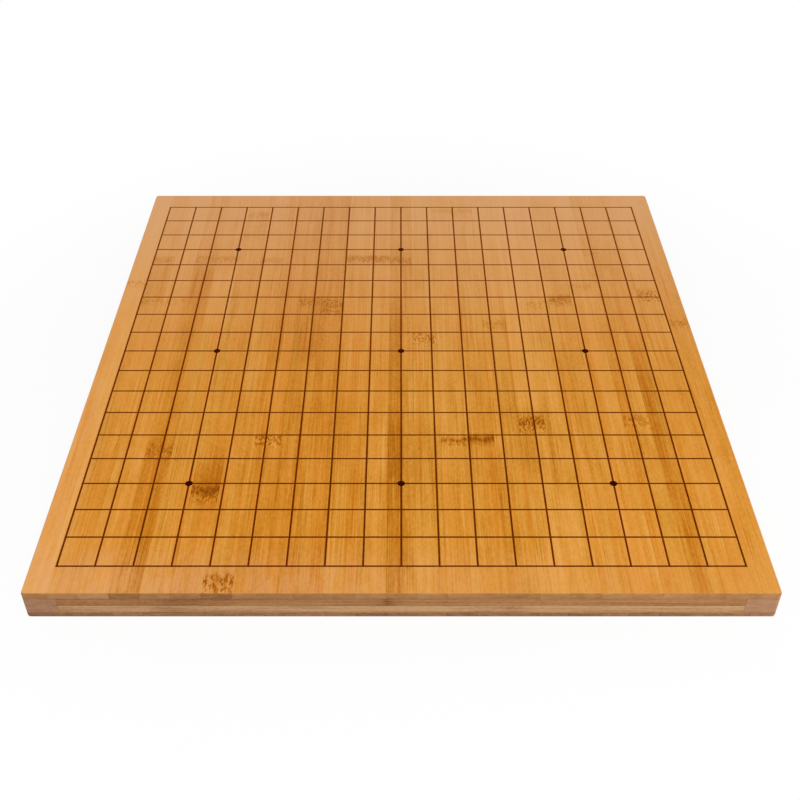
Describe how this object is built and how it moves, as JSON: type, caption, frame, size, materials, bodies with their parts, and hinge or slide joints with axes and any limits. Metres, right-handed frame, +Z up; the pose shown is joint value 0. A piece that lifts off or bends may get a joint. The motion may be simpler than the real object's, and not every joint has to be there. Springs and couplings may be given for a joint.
{
  "type": "go board",
  "caption": "Flat laminated bamboo go board with an etched square playing grid, lacquered lines and star points, and eased edges.",
  "frame": {"origin": "middle of the underside", "axes": "+X to a player's right, +Y away from that player along the longer side, +Z up out of the playing face"},
  "size_m": [0.445, 0.47, 0.0208],
  "materials": {
    "top_bamboo": "carbonised bamboo strips, fine lengthwise fibres, satin varnish",
    "bottom_bamboo": "carbonised bamboo strips, satin varnish",
    "stile_bamboo": "carbonised bamboo, end grain at the corners, satin varnish",
    "upper_ply_bamboo": "darker carbonised bamboo slats laid side to side, satin varnish",
    "lower_ply_bamboo": "paler carbonised bamboo slats laid side to side, satin varnish",
    "line_lacquer": "dark brown lacquer in etched lines"
  },
  "bodies": {
    "root": {"top_strip_01": "top_bamboo", "top_strip_02": "top_bamboo", "top_strip_03": "top_bamboo", "top_strip_04": "top_bamboo", "top_strip_05": "top_bamboo", "top_strip_06": "top_bamboo", "top_strip_07": "top_bamboo", "top_strip_08": "top_bamboo", "top_strip_09": "top_bamboo", "top_strip_10": "top_bamboo", "top_strip_11": "top_bamboo", "top_strip_12": "top_bamboo", "top_strip_13": "top_bamboo", "top_strip_14": "top_bamboo", "top_strip_15": "top_bamboo", "top_strip_16": "top_bamboo", "top_strip_17": "top_bamboo", "top_strip_18": "top_bamboo", "top_strip_19": "top_bamboo", "top_strip_20": "top_bamboo", "top_strip_21": "top_bamboo", "top_strip_22": "top_bamboo", "top_strip_23": "top_bamboo", "top_strip_24": "top_bamboo", "top_strip_25": "top_bamboo", "bottom_strips_odd": "bottom_bamboo", "bottom_strips_even": "bottom_bamboo", "left_stile": "stile_bamboo", "right_stile": "stile_bamboo", "front_rail_upper": "upper_ply_bamboo", "back_rail_upper": "upper_ply_bamboo", "core_slats_upper": "upper_ply_bamboo", "front_rail_lower": "lower_ply_bamboo", "back_rail_lower": "lower_ply_bamboo", "core_slats_lower": "lower_ply_bamboo", "grid_lines": "line_lacquer", "star_points": "line_lacquer"}
  },
  "joints": []
}
